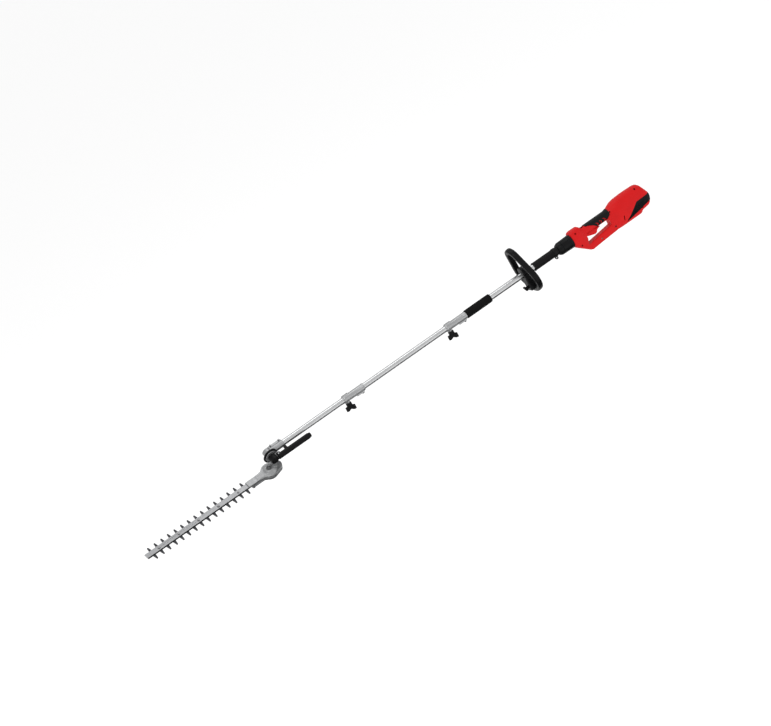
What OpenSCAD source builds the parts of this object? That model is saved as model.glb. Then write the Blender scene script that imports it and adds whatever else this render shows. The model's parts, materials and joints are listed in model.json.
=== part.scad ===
// Pole hedge trimmer: a double-sided blade on a tilting gear head, two front poles in
// screw couplers, a loop handle, and a motor unit with a closed rear handle.
// X runs along the pole from the blade to the motor and Z is up. The origin is the centre
// of the strap eye's bore. In the head, s is the distance along the tilt axis towards -Y.

/* [Pole] */
// Height of the pole axis above the strap eye's bore
axis_h = 22; // [22:0.5:30]
// Outer radius of the two front poles
pole_r = 11.9; // [10:0.1:14.3]
// Wall of every pole tube
pole_wall = 1.5; // [1.2:0.1:2]
// Outer radius of the rear tube
rear_tube_r = 12.5; // [10.5:0.1:15]
// Visible length of the front pole
lower_show = 290; // [200:10:500]
// Visible length of the middle pole
middle_show = 398; // [250:1:600]
// Visible length of the rear tube
rear_show = 212; // [170:1:300]
// Length of a coupler sleeve
coupler_len = 98; // [90:1:130]
// Wall of a coupler sleeve
coupler_wall = 1.8; // [1.5:0.1:3]
// Depth to which the front tube enters its coupler
plug_depth = 68; // [64:1:72]
// Radius of the drive shaft
shaft_r = 4; // [3:0.1:4.5]

/* [Grips] */
// Length of the foam grip
foam_len = 120; // [80:1:160]
// Thickness of the foam grip
foam_t = 4.4; // [3:0.1:7]
// Length of the front grip ahead of the strap eye
grip_front = 102; // [70:1:150]
// Wall of the front grip
grip_wall = 3.9; // [2:0.1:5]
// Place of the loop handle along the pole
loop_x = -140; // [-150:1:-125]
// Radius of the loop at its top
loop_top_r = 42; // [38:1:50]
// Radius of the loop at its bottom
loop_bottom_r = 75; // [70:1:85]
// Height of the loop's upper centre above the pole axis
loop_top_z = 77; // [65:1:95]
// Depth of the loop's lower centre below the pole axis
loop_bottom_z = 11; // [5:1:20]
// Thickness of the loop across its ring
loop_t = 20; // [16:1:24]
// Width of the loop along the pole
loop_w = 24; // [18:1:30]
// Forward lean of the loop
loop_lean = 9.4; // [0:0.1:15]

/* [Head] */
// Length of the pole bracket behind the tilt axis
bracket_len = 72; // [60:1:90]
// Roll of the gear head about the pole axis
head_roll = 36; // [0:1:60]
// Offset of the blade from the pole axis along the tilt axis
head_s = 34; // [33:1:36]
// Depth of the blades' upper face below the tilt axis
blade_drop = 50; // [48:1:56]
// Number of teeth on each side of a blade
tooth_count = 15; // [8:1:18]
// Distance from tooth to tooth
tooth_pitch = 31.5; // [24:0.5:39]
// Length of a tooth beyond the blade's bar
tooth_reach = 21; // [15:1:26]
// Width of the blade's bar
blade_w = 21.5; // [16:0.5:22]
// Thickness of one blade
blade_t = 2.5; // [2:0.1:3]
// Thickness of the support bar
bar_t = 4; // [3:0.5:4.5]
// Throw of the crank, half of a blade's stroke
crank_throw = 5.5; // [3:0.1:5.5]
// Radius of the gearbox
gearbox_r = 33; // [33:0.5:40]
// Length of the squeeze lever
lever_len = 155; // [120:1:180]
// Radius of the squeeze lever
lever_r = 11.5; // [10:0.5:12]

/* [Motor unit] */
// Half width of the motor housing
body_hw = 38; // [38:1:46]
// Half width of the rear handle
grip_hw = 19; // [19:0.5:23]
// Wall of the housing shells
shell_wall = 2.5; // [2:0.1:3]
// Length of the front collar
collar_len = 66; // [55:1:80]
// Length of the finger opening
opening_len = 121; // [115:1:145]
// Length of the motor housing behind the opening
motor_len = 189; // [189:1:230]
// Radius of the strap eye's bore
eye_r = 3.2; // [2.5:0.1:3.2]
// Radius of the cable inlet's bore
inlet_r = 4; // [3:0.1:5]

/* [Hidden] */
$fn = 64;
fit = 0.05;   // radial clearance of a running fit
slip = 0.1;   // clearance between pieces that are fixed together
gap = 0.35;   // least gap between pieces that move past each other

// Stations along the pole, each from the one behind it
x_grip_end = 18;
x_collar_front = x_grip_end - 2;
x_shell = x_collar_front + collar_len;
x_open = x_shell + 51;
x_body = x_open + opening_len;
x_rear = x_body + motor_len;
x_foam_rear = -grip_front - rear_show;
x_c2_rear = x_foam_rear - foam_len;
x_c2 = x_c2_rear - coupler_len;
x_c1_rear = x_c2 - middle_show;
x_c1 = x_c1_rear - coupler_len;
x_pivot = x_c1 - lower_show - bracket_len;

// Tubes and couplers
grip_r = rear_tube_r + slip + grip_wall;
foam_r = rear_tube_r + slip + foam_t;
seat_r = max(pole_r, rear_tube_r) + slip;
sleeve_r = seat_r + coupler_wall;
stop_t = 2;
groove_w = 5;
groove_d = 1;
knob_x = 14;
detent_x = coupler_len - 12;
pin_x = plug_depth - 4;
pull = 2;
arm_t = 1.4;
arm_z = seat_r + gap;
detent_floor = arm_z + arm_t + pull + gap;
socket_r = 7.5;
socket_front = plug_depth - 22;
key = 2 * shaft_r * 0.7;
key_len = plug_depth - socket_front - 1;

// Head: distances from the tilt axis
bolt_r = 3;
bevel_in = 4.4;
bevel_out = 8;
bevel_gap = 0.3;
bracket_r = pole_r + slip + 1.5;
bracket_s = pole_r + 0.3;
transfer_s = bracket_s + 19;
ring_s = bracket_s + 4.5;
ring_r = 31;
cheek_s = ring_s + 0.5;
cheek_t = 4;
hub_s = transfer_s + bevel_out + bevel_gap;
hub_end = hub_s + 2.2;
cap_s = hub_end + 5.5;
hub_r = 14.2;
pin_place = 20;
lock_r = 2.5;
lever_x = 17.5;
lever_s = transfer_s + 8.8;
lever_pin_at = [26, transfer_s + 1.8];
crank_x = -28;
gear_n = 42;
pinion_n = 14;
gear_reach = sqrt(pow(crank_x, 2) + pow(head_s - transfer_s, 2));
module_mm = 2 * gear_reach / (gear_n + pinion_n);
gear_z0 = -blade_drop + 0.8;
gear_z1 = -blade_drop + 5.3;
case_top = -blade_drop + 8;
case_split = -blade_drop - 2;
case_bottom = -blade_drop - 12;
case_wall = 2.2;
plug_z = case_top + 12;
eccentric_r = 7;
slot_x = eccentric_r + 2 * crank_throw + gap;
slot_y = eccentric_r + crank_throw + gap;
yoke_r = sqrt(pow(slot_x, 2) + pow(slot_y, 2)) + 1.6;
tooth_first = -146;
blade_tip = tooth_first - (tooth_count - 1) * tooth_pitch - 30;
tooth_base = 12;
neck_front = tooth_first + tooth_base / 2 + crank_throw + 2 * gap;
cover_front = neck_front + 14;
tooth_tip = 5;
blade_gap = 0.2;
bolt_count = 5;
bolt_pitch = (tooth_count - 3) * tooth_pitch / (bolt_count - 1);
blade_bolt_r = 2.4;

// Motor unit: heights from the pole axis
shell_top = 41;
block_top = 35;
handle_top = 21.8;
handle_low = -11;
foot_z = -68;
nose_z = -75;
grip_t = 2.2;
panel_t = 1.4;
core_r = 18.4;
air = 0.6;
bearing_r = 11;
x_fan = x_body + 46;
x_core = x_body + 68;
core_len = 56;
x_comm = x_core + core_len + 9;
x_rear_bearing = x_body + 156;
x_front_bearing = x_body + 34;
trigger_hinge = [x_open + 15, handle_low + 3];
trigger_hw = 9.5;
inlet_z = -27;
screw_spots = [
  [x_shell + 23, -33], [x_shell + 20, 22], [x_open + 60, -58], [x_body + 10, -48],
  [x_body + 14, 14], [x_body + 66, -52], [x_body + 140, -44], [x_body + 146, 33]
];

module on_pole() translate([0, 0, axis_h]) children();
module at_pivot() on_pole() rotate([head_roll, 0, 0]) translate([x_pivot, 0, 0]) children();
module at_blade() at_pivot() translate([0, -head_s, 0]) children();
module rod_x(x0, x1, r) translate([x0, 0, 0]) rotate([0, 90, 0]) cylinder(h = x1 - x0, r = r);
module rod_s(s0, s1, r) translate([0, -s0, 0]) rotate([90, 0, 0]) cylinder(h = s1 - s0, r = r);
module rod_z(z0, z1, r) translate([0, 0, z0]) cylinder(h = z1 - z0, r = r);
module rod_y(y0, y1, r) translate([0, y0, 0]) rotate([-90, 0, 0]) cylinder(h = y1 - y0, r = r);
module box(lo, hi) translate(lo) cube(hi - lo);
module turned_x(points) rotate([0, 90, 0]) rotate_extrude() polygon(points);
module side_plate(points, y0, y1) translate([0, y1, 0]) rotate([90, 0, 0])
  linear_extrude(y1 - y0) polygon(points);
module ring_x(x0, x1, ro, ri) difference() {
  rod_x(x0, x1, ro);
  rod_x(x0 - 1, x1 + 1, ri);
}

// ---- Poles, couplers and their knobs ----

module pole_section() difference() {
  circle(pole_r);
  circle(pole_r - pole_wall);
  translate([pole_r, 0]) square([2 * groove_d, groove_w], center = true);
  for (a = [60, 105, 180, 255, 300]) rotate(a) translate([pole_r, 0])
    square([1, 1.4], center = true);
}
module pole_tube(x0, x1) translate([x0, 0, 0]) rotate([0, 90, 0])
  linear_extrude(x1 - x0) pole_section();

module coupler(x, r_rear) translate([x, 0, 0]) difference() {
  union() {
    rod_x(0, coupler_len, sleeve_r);
    rod_x(2, 8, sleeve_r + 0.7);
    rod_x(coupler_len - 5, coupler_len - 1, sleeve_r + 0.7);
    translate([knob_x, 0, 0]) rod_z(-sleeve_r - 4, -pole_r, 8);
    box([pin_x - 6, -6.5, -detent_floor - 1.4], [detent_x + 6.5, 6.5, -pole_r]);
    box([3, -7, sleeve_r - 2], [30, 7, sleeve_r + 1.6]);
  }
  rod_x(-1, plug_depth + slip, pole_r + fit);
  rod_x(plug_depth, plug_depth + stop_t + 1, pole_r - pole_wall);
  rod_x(plug_depth + stop_t, coupler_len + 1, r_rear + slip);
  translate([knob_x, 0, 0]) rod_z(-sleeve_r - 5, 0, 2.9 + fit);
  translate([detent_x, 0, 0]) rod_z(-detent_floor - 2, -arm_z + slip, 4.7);
  box([pin_x - 3, -3, -detent_floor], [detent_x, 3, -arm_z + slip]);
  translate([pin_x, 0, 0]) rod_z(-arm_z, 0, 2.3);
  box([-1, -0.8, 0], [34, 0.8, sleeve_r + 3]);
}

module wing_knob(x) translate([x + knob_x, 0, 0]) {
  rod_z(-sleeve_r - 8, -pole_r - gap, 2.9);
  rod_z(-sleeve_r - 17, -sleeve_r - 4 - gap, 11.5);
  translate([0, 0, -sleeve_r - 36]) rotate([0, 0, -32]) for (side = [-1, 1]) hull() {
    translate([0, 0, 9]) cylinder(h = 11, r = 6.5, $fn = 32);
    translate([side * 14.5, 0, 0]) cylinder(h = 17, r = 6, $fn = 32);
  }
}

module detent(x) translate([x, 0, 0]) difference() {
  union() {
    translate([detent_x, 0, 0]) rod_z(-detent_floor - 5, -arm_z, 4.4);
    box([pin_x - 2, -2.6, -arm_z - arm_t], [detent_x, 2.6, -arm_z]);
    translate([pin_x, 0, 0]) rod_z(-arm_z - 0.5, -pole_r + groove_d - gap, 2);
  }
  translate([detent_x, 0, 0]) rod_z(-detent_floor - 6, -detent_floor - 4, 2);
}

module bush(x, r_out) ring_x(x, x + 12, r_out - slip, shaft_r + fit);

// A shaft with a square key at its rear end and a square socket at its front end
module drive_shaft(x0, x1) difference() {
  union() {
    rod_x(x0, x1 - key_len, shaft_r);
    box([x1 - key_len - 1, -key / 2, -key / 2], [x1, key / 2, key / 2]);
    rod_x(x0, x0 + 26, socket_r);
  }
  socket_hole(x0);
}
module socket_hole(x0) box([x0 - 1, -key / 2 - gap, -key / 2 - gap],
  [x0 + 22, key / 2 + gap, key / 2 + gap]);

module rear_tube() color("silver") on_pole()
  ring_x(x_c2_rear - coupler_len + plug_depth + stop_t, x_shell - 6, rear_tube_r,
    rear_tube_r - pole_wall);
module rear_coupler() color("gray") on_pole() coupler(x_c2, rear_tube_r);
module foam_grip() color("black") on_pole()
  ring_x(x_c2_rear + 1, x_foam_rear, foam_r, rear_tube_r + slip);
module rear_bushes() color("ivory") on_pole()
  for (x = [x_c2_rear + 14, x_foam_rear + 60, -40]) bush(x, rear_tube_r - pole_wall);
module middle_tube() color("silver") on_pole()
  pole_tube(x_c1 + plug_depth + stop_t, x_c2 + plug_depth);
module front_coupler() color("gray") on_pole() coupler(x_c1, pole_r);
module middle_bushes() color("ivory") on_pole()
  for (x = [x_c1_rear + 14, x_c2 + 10]) bush(x, pole_r - pole_wall);
module lower_tube() color("silver") on_pole() pole_tube(x_pivot + 14, x_c1 + plug_depth);
module lower_bushes() color("ivory") on_pole()
  for (x = [x_pivot + 17, x_pivot + 180, x_c1 + 10]) bush(x, pole_r - pole_wall);
module rear_knob() color("black") on_pole() wing_knob(x_c2);
module front_knob() color("black") on_pole() wing_knob(x_c1);
module rear_detent() color("black") on_pole() detent(x_c2);
module front_detent() color("black") on_pole() detent(x_c1);

module middle_shaft() color("slategray") on_pole()
  drive_shaft(x_c1 + socket_front, x_c2 + plug_depth - 2);
module lower_shaft() color("slategray") on_pole() union() {
  rod_x(x_pivot + bevel_out - 1, x_c1 + plug_depth - 2 - key_len, shaft_r);
  box([x_c1 + plug_depth - 3 - key_len, -key / 2, -key / 2],
    [x_c1 + plug_depth - 2, key / 2, key / 2]);
}

// ---- Grips and strap eye ----

module front_grip() color("black") on_pole() difference() {
  union() {
    rod_x(-grip_front, x_shell + 2, grip_r);
    rod_x(-grip_front, -grip_front + 4, grip_r + 0.8);
  }
  rod_x(-grip_front - 1, x_shell + 3, rear_tube_r + slip);
}

module strap_eye() color("black") difference() {
  union() {
    on_pole() rod_x(-7, 7, grip_r + slip + 1.5);
    rod_y(-4, 4, eye_r + 2.9);
    box([-eye_r - 1.8, -4, 0], [eye_r + 1.8, 4, axis_h - grip_r]);
  }
  on_pole() rod_x(-8, 8, grip_r + slip);
  rod_y(-5, 5, eye_r);
}

// Pear outline of the loop handle: height up +X of the sketch, width along Y
module pear(inset) {
  r0 = loop_top_r - inset;
  r1 = loop_bottom_r - inset;
  d = loop_top_z + loop_bottom_z;
  a = asin((r1 - r0) / d);
  translate([loop_top_z, 0]) circle(r0);
  translate([-loop_bottom_z, 0]) circle(r1);
  polygon([
    [loop_top_z + r0 * sin(a), r0 * cos(a)], [-loop_bottom_z + r1 * sin(a), r1 * cos(a)],
    [-loop_bottom_z + r1 * sin(a), -r1 * cos(a)], [loop_top_z + r0 * sin(a), -r0 * cos(a)]
  ]);
}
clamp_hx = 18;
clamp_screw_y = rear_tube_r + 3.1;
clamp_hy = clamp_screw_y + 3.4;
clamp_top = 30;
clamp_low = loop_bottom_z + loop_bottom_r - loop_t + 3;
loop_knob_z = -53;
module loop_handle() color("black") on_pole() translate([loop_x, 0, 0]) difference() {
  union() {
    rotate([0, -90 - loop_lean, 0]) translate([0, 0, -loop_w / 2])
      linear_extrude(loop_w) difference() {
        pear(0);
        pear(loop_t);
      }
    box([-clamp_hx, -clamp_hy, -clamp_low], [clamp_hx, clamp_hy, -0.5]);
  }
  rod_x(-clamp_hx - 30, clamp_hx + 30, rear_tube_r + fit);
  for (y = [-clamp_screw_y, clamp_screw_y]) translate([0, y, 0]) rod_z(-18, 0, 2 + slip / 2);
  translate([0, 0, loop_knob_z]) rod_x(-clamp_hx - 1, 8, 2.6 + fit);
}
module loop_cap() color("black") on_pole() translate([loop_x, 0, 0]) difference() {
  union() {
    box([-clamp_hx, -clamp_hy, 0], [clamp_hx, clamp_hy, 12]);
    intersection() {
      rod_x(-clamp_hx, clamp_hx, clamp_top);
      box([-clamp_hx, -clamp_hy, 0], [clamp_hx, clamp_hy, clamp_top]);
    }
  }
  rod_x(-clamp_hx - 1, clamp_hx + 1, rear_tube_r + fit);
  for (y = [-clamp_screw_y, clamp_screw_y]) translate([0, y, 0]) {
    rod_z(-1, 32, 2 + slip);
    rod_z(18, 40, 3.3);
  }
}
module loop_screws() color("dimgray") on_pole() translate([loop_x, 0, 0])
  for (y = [-clamp_screw_y, clamp_screw_y]) translate([0, y, 0]) {
    rod_z(-16, 18, 2);
    rod_z(18, 21, 3.2);
  }
module loop_knob() color("black") on_pole() translate([loop_x - clamp_hx, 0, loop_knob_z]) {
  rod_x(-3, 24, 2.6);
  rod_x(-10, -gap, 6.5);
  rotate([25, 0, 0]) box([-17, -13, -2.5], [-8, 13, 2.5]);
}

// ---- Motor unit ----

function moved(points, w) = [for (p = points) [p[0] + w * p[2], p[1] + w * p[3]]];

// Side outline of the shells, each point with the way that it moves when the wall is taken off
shell_points = [
  [x_shell, 28, 1, -1], [x_shell + 8, block_top, 0.4, -1], [x_open - 3, block_top, -1, -1],
  [x_open + 1, handle_top, -1, -1], [x_body + 4, handle_top, 0.2, -1],
  [x_body + 49, shell_top, 0.2, -1], [x_rear - 33, shell_top, -0.2, -1],
  [x_rear - 19, 36, -0.8, -0.8], [x_rear, -4, -1.4, 1], [x_rear - 16, -7, -1, 1],
  [x_rear - 17, -50, -1, 1], [x_rear - 53, -56, -0.6, 1], [x_rear - 63, foot_z, -0.6, 1],
  [x_body + 27, -67, 0, 1], [x_shell + 41, nose_z, 0.7, 1], [x_shell, -25, 1, 0.6]
];
// Finger opening, each point with the way that it moves when the wall is added
opening_points = [
  [x_open, -45, -1, -1], [x_body, -29, 1, -1], [x_body, handle_low, 1, 1],
  [x_open + 10, handle_low, -1, 1], [x_open + 10, -25, -1, 0.4]
];
// Half width along the shells
width_points = [
  [x_shell, 27], [x_shell + 38, 27], [x_open + 7, grip_hw], [x_body + 2, grip_hw],
  [x_body + 40, body_hw - 3], [x_body + 60, body_hw], [x_rear - 16, body_hw], [x_rear, body_hw - 7]
];
function plan(w) = concat([for (p = width_points) [p[0], p[1] - w]],
  [for (i = [len(width_points) - 1:-1:0]) [width_points[i][0], -width_points[i][1] + w]]);

module unit_solid(w) intersection() {
  translate([0, 60, 0]) rotate([90, 0, 0]) linear_extrude(120) difference() {
    polygon(moved(shell_points, w));
    polygon(moved(opening_points, w));
  }
  translate([0, 0, -100]) linear_extrude(200) polygon(plan(w));
}

slot_count = 5;
module vent_slots() for (i = [0:slot_count - 1], side = [-1, 1])
  translate([x_body + 124 + 9 * i, side * body_hw, -28]) rotate([0, 24, 0])
    cube([3.4, 8, 22], center = true);

module bearing_rib(x) difference() {
  intersection() {
    box([x + 2, -60, -36], [x + 6, 60, 38]);
    unit_solid(shell_wall - 0.5);
  }
  rod_x(x - 1, x + 9, bearing_r + slip);
}

module unit_shell(side) on_pole() difference() {
  intersection() {
    union() {
      difference() {
        unit_solid(0);
        unit_solid(shell_wall);
      }
      bearing_rib(x_front_bearing);
      bearing_rib(x_rear_bearing);
      translate([trigger_hinge[0], 0, trigger_hinge[1]]) rod_y(-grip_hw + 1, grip_hw - 1, 2);
      intersection() {
        unit_solid(0.2);
        for (p = screw_spots) translate([p[0], 0, p[1]]) rod_y(-60, 60, 5.6);
      }
    }
    box([0, side > 0 ? 0 : -60, -100], [x_rear + 10, side > 0 ? 60 : 0, 100]);
  }
  for (p = screw_spots) translate([p[0], 0, p[1]]) {
    rod_y(-16, 14, 2 + slip / 2);
    rod_y(-60, -12, 3.9);
  }
  rod_x(x_shell - 1, x_shell + 16, 19 + slip);
  rod_x(x_shell + 6, x_shell + 10, 22 + slip);
  box([x_open + 8, -trigger_hw - gap, handle_low - 5], [x_open + 83, trigger_hw + gap, -5]);
  box([x_open - 5, -8 - gap, 15], [x_open + 19, 8 + gap, 34]);
  translate([0, 0, inlet_z]) rod_x(x_rear - 30, x_rear, 8);
  vent_slots();
}
module housing_left() color("crimson") unit_shell(-1);
module housing_right() color("crimson") unit_shell(1);

module soft_grip() color("black") on_pole() difference() {
  side_plate([
    [x_open + 20, handle_top + grip_t], [x_body + 3, handle_top + grip_t], [x_body + 1, 6],
    [x_body - 14, -4], [x_open + 62, -5], [x_open + 44, 8]
  ], -grip_hw - grip_t, grip_hw + grip_t);
  box([x_open, -grip_hw - slip / 2, -30], [x_body + 10, grip_hw + slip / 2, handle_top + slip / 2]);
}

module vent_panels() color("black") on_pole() difference() {
  for (side = [-1, 1]) side_plate([
    [x_body + 62, -57], [x_body + 124, -9], [x_rear - 17, -7.5], [x_rear - 17.5, -49],
    [x_rear - 54, -55]
  ], side > 0 ? body_hw : -body_hw - panel_t, side > 0 ? body_hw + panel_t : -body_hw);
  vent_slots();
}

module rear_cap() color("black") on_pole() difference() {
  intersection() {
    side_plate([
      [x_rear - 16 + slip, -7 - slip], [x_rear - 1, -4.3], [x_rear - 3, -32],
      [x_rear - 17 + slip, -50]
    ], -60, 60);
    translate([0, 0, -100]) linear_extrude(200) polygon(plan(0));
  }
  box([x_rear - 18, -22, -40], [x_rear - 8, 22, -13]);
  translate([0, 0, inlet_z]) rod_x(x_rear - 12, x_rear + 5, 7 + slip);
}

module cable_gland() color("dimgray") on_pole() translate([0, 0, inlet_z]) difference() {
  union() {
    rod_x(x_rear - 24, x_rear + 2, 7);
    rod_x(x_rear - 12, x_rear - 9, 9);
  }
  rod_x(x_rear - 25, x_rear + 3, inlet_r);
}

module housing_screws() color("dimgray") on_pole()
  for (p = screw_spots) translate([p[0], 0, p[1]]) {
    rod_y(-12, 12, 2);
    rod_y(-15, -12, 3.7);
  }

module stator() color("darkgray") on_pole() difference() {
  rod_x(x_core, x_core + core_len, 31);
  rod_x(x_core - 1, x_core + core_len + 1, core_r + air);
  for (z = [-31, 31]) translate([0, 0, z]) box([x_core - 1, -9, -2.5], [x_core + core_len + 1, 9, 2.5]);
}
module field_coils() color("peru") on_pole() {
  ring_x(x_core - 7, x_core, 29, core_r + 2);
  ring_x(x_core + core_len, x_core + core_len + 7, 29, core_r + 2);
}
module armature() color("darkgray") on_pole() difference() {
  union() {
    rod_x(x_core, x_core + core_len, core_r);
    rod_x(x_comm, x_comm + 16, 11);
  }
  rod_x(x_core - 1, x_comm + 17, shaft_r);
  for (a = [0:30:330]) rotate([a, 0, 0])
    box([x_core - 1, -1.4, core_r - 5], [x_core + core_len + 1, 1.4, core_r + 1]);
}
module brush_gear() color("saddlebrown") on_pole() {
  ring_x(x_comm + 1, x_comm + 14, 27, 22);
  for (side = [-1, 1])
    box([x_comm + 3, side > 0 ? 11 + gap : -24, -4], [x_comm + 12, side > 0 ? 24 : -11 - gap, 4]);
}
module cooling_fan() color("dimgray") on_pole() difference() {
  union() {
    rod_x(x_fan, x_fan + 2.5, 27);
    rod_x(x_fan, x_fan + 12, 9);
    for (a = [0:40:320]) rotate([a, 0, 0]) box([x_fan + 1, -0.8, 8], [x_fan + 12, 0.8, 26]);
  }
  rod_x(x_fan - 1, x_fan + 13, shaft_r);
}
module motor_bearings() color("lightgray") on_pole() {
  ring_x(x_front_bearing, x_front_bearing + 8, bearing_r, shaft_r + fit);
  ring_x(x_rear_bearing, x_rear_bearing + 8, bearing_r, shaft_r + fit);
}
module rear_shaft() color("slategray") on_pole() difference() {
  union() {
    rod_x(x_c2 + socket_front, x_rear_bearing + 9, shaft_r);
    rod_x(x_c2 + socket_front, x_c2 + socket_front + 26, socket_r);
  }
  socket_hole(x_c2 + socket_front);
}

module trigger_switch() color("dimgray") on_pole()
  box([x_open + 70, shaft_r + 1.5, -4], [x_open + 100, grip_hw - shell_wall - slip, 12]);

module trigger() color("red") on_pole() difference() {
  union() {
    side_plate([
      [x_open + 10, handle_low + 5], [x_open + 10, -19], [x_open + 27, -24],
      [x_open + 49, -30], [x_open + 57, -27], [x_open + 63, -19], [x_open + 76, -15],
      [x_open + 80, handle_low - 3], [x_open + 30, handle_low + 3]
    ], -trigger_hw, trigger_hw);
    translate([trigger_hinge[0], 0, trigger_hinge[1]]) rod_y(-trigger_hw, trigger_hw, 3.6);
  }
  translate([trigger_hinge[0], 0, trigger_hinge[1]]) rod_y(-20, 20, 2 + fit);
}

module lock_button() color("black") on_pole() union() {
  side_plate([
    [x_open - 4, 16], [x_open - 4, 33], [x_open + 4, 31.5], [x_open + 17, 26], [x_open + 18, 16]
  ], -8, 8);
  box([x_open - 4, -10.5, 13.2], [x_open + 18, 10.5, 16]);
}
module lock_spring() color("silver") on_pole() translate([x_open + 7, 0, 0]) difference() {
  rod_z(shaft_r + 1.2, 13.2, 4.4);
  rod_z(shaft_r, 14, 3.4);
}

module collar() color("black") on_pole() difference() {
  turned_x([
    [0, x_collar_front], [20, x_collar_front], [25.4, x_collar_front + 9],
    [27, x_shell], [19, x_shell], [19, x_shell + 6.2], [22, x_shell + 6.2],
    [22, x_shell + 9.8], [19, x_shell + 9.8], [19, x_shell + 15], [0, x_shell + 15]
  ]);
  rod_x(x_collar_front - 1, x_shell + 16, grip_r + slip);
}

// ---- Pole bracket and tilt joint ----

module bevel(r_in, r_out, teeth) difference() {
  translate([0, 0, r_in]) cylinder(h = r_out - r_in, r1 = r_in - bevel_gap, r2 = r_out - bevel_gap);
  for (a = [0:360 / teeth:359]) rotate([0, 0, a]) translate([r_out - 0.2, 0, r_out])
    rotate([0, 45, 0]) cube([1, 0.9, 14], center = true);
}

module pole_bracket() color("lightgray") at_pivot() difference() {
  union() {
    rod_x(0, bracket_len, bracket_r);
    rod_s(-bracket_r, bracket_s, 17.5);
    box([12, 0, -9], [bracket_len, bracket_r + 6, 9]);
  }
  rod_x(14, bracket_len + 1, pole_r + slip / 2);
  rod_x(0, 15, pole_r - pole_wall);
  rod_s(-10.5, bracket_s + 1, bevel_out + 4);
  rod_s(bracket_s, bracket_s + 10, ring_r + gap);
  rod_s(-bracket_r - 1, 0, bolt_r + slip / 2);
  box([20, 0, -0.8], [bracket_len + 1, bracket_r + 7, 0.8]);
  for (x = [24, bracket_len - 8]) translate([x, bracket_r + 2.6, 0]) rod_z(-10, 10, 2 + slip / 2);
}
module bracket_screws() color("dimgray") at_pivot()
  for (x = [24, bracket_len - 8]) translate([x, bracket_r + 2.6, 0]) {
    rod_z(-8, 9, 2);
    rod_z(9, 13, 3.6);
  }

module index_ring() color("black") at_pivot() difference() {
  rod_s(bracket_s, ring_s, ring_r);
  rod_s(bracket_s - 1, ring_s + 1, 9);
  difference() {
    rod_s(ring_s - 2.5, ring_s + 1, pin_place + lock_r + gap);
    rod_s(ring_s - 3, ring_s + 2, pin_place - lock_r - gap);
  }
  for (a = [-45:15:90]) rotate([0, a, 0]) translate([pin_place, 0, 0])
    rod_s(bracket_s - 1, ring_s, lock_r + 0.2);
}

module pivot_bolt() color("dimgray") at_pivot() {
  rod_s(-bracket_r, hub_end + 3.5, bolt_r);
  rod_s(-bracket_r - 4.5, -bracket_r, 7);
  rod_s(hub_end + gap, hub_end + 4, 6);
}

module bevel_pinion() color("slategray") at_pivot() difference() {
  union() {
    rotate([0, 90, 0]) bevel(bevel_in, bevel_out, 12);
    rod_x(bevel_out, bevel_out + 5, 7);
  }
  rod_x(bevel_out - 2, bevel_out + 6, shaft_r);
}

module idler_bevel() color("slategray") at_pivot() difference() {
  union() {
    rotate([90, 0, 0]) bevel(bevel_in, bevel_out, 12);
    rod_s(bevel_out, transfer_s - bevel_out, 5.5);
    translate([0, -transfer_s, 0]) rotate([-90, 0, 0]) bevel(bevel_in, bevel_out, 12);
  }
  rod_s(0, transfer_s, bolt_r + fit);
}

// ---- Gear head ----

module teardrop(r) {
  translate([crank_x, 0]) circle(r);
  translate([4, 0]) circle(r - 9);
  polygon([
    [crank_x + 9 / 32 * r, r * 0.959], [4 + 9 / 32 * (r - 9), (r - 9) * 0.959],
    [4 + 9 / 32 * (r - 9), -(r - 9) * 0.959], [crank_x + 9 / 32 * r, -r * 0.959]
  ]);
}
neck_hw = 14;
module neck(hw, x0) polygon([
  [x0, -hw], [crank_x - gearbox_r - 2, -hw], [crank_x - 18, -gearbox_r + 6],
  [crank_x - 18, gearbox_r - 6], [crank_x - gearbox_r - 2, hw], [x0, hw]
]);

module channel() {
  box([neck_front - 1, -blade_w / 2 - slip, -blade_drop - 1],
    [crank_x - gearbox_r - 6, blade_w / 2 + slip, -blade_drop + bar_t]);
  box([neck_front - 1, -blade_w / 2 - 0.6, case_bottom - 1 + 6],
    [crank_x, blade_w / 2 + 0.6, -blade_drop + blade_gap]);
}

module gear_housing() color("lightgray") difference() {
  union() {
    at_blade() {
      translate([0, 0, case_split]) linear_extrude(case_top - case_split) teardrop(gearbox_r);
      translate([0, 0, case_split]) linear_extrude(case_top - case_split) neck(neck_hw, neck_front);
      translate([crank_x, 0, 0]) rod_z(case_top - 1, plug_z, 15);
    }
    at_pivot() {
      translate([0, -transfer_s, 0]) rod_z(case_top - 2, -hub_r + 4, 10.5);
      rod_s(cheek_s, cheek_s + cheek_t, 25);
      rod_s(cheek_s + 1, hub_end, hub_r);
      box([10, -transfer_s - 6, -4], [33, -cheek_s - 1, 4]);
    }
  }
  at_blade() {
    translate([crank_x, 0, 0]) {
      rod_z(case_split - 1, gear_z1 + gap, gearbox_r - case_wall);
      rod_z(gear_z1, plug_z - 5, 5 + fit);
      rod_z(plug_z - 5, plug_z + 1, 9.5);
    }
    channel();
  }
  at_pivot() {
    translate([0, -transfer_s, 0]) {
      rod_z(case_split - 1, gear_z1 + gap, (pinion_n * module_mm) / 2 + 1.5);
      rod_z(gear_z1, -bevel_out, 3.5 + fit);
      rod_z(-bevel_out - 3, 0, bevel_out + 1);
    }
    rod_s(cheek_s + cheek_t + 1.4, hub_s, 11.6);
    rod_s(cheek_s - 1, hub_s, 5.5 + gap);
    rod_s(hub_s - 1, hub_end + 1, bolt_r + fit);
    translate([pin_place, 0, 0]) rod_s(cheek_s - 1, transfer_s + 2, lock_r + fit);
    translate([lever_pin_at[0], -lever_pin_at[1], 0]) rod_z(-6, 6, 2.5 + slip / 2);
  }
}

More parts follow.
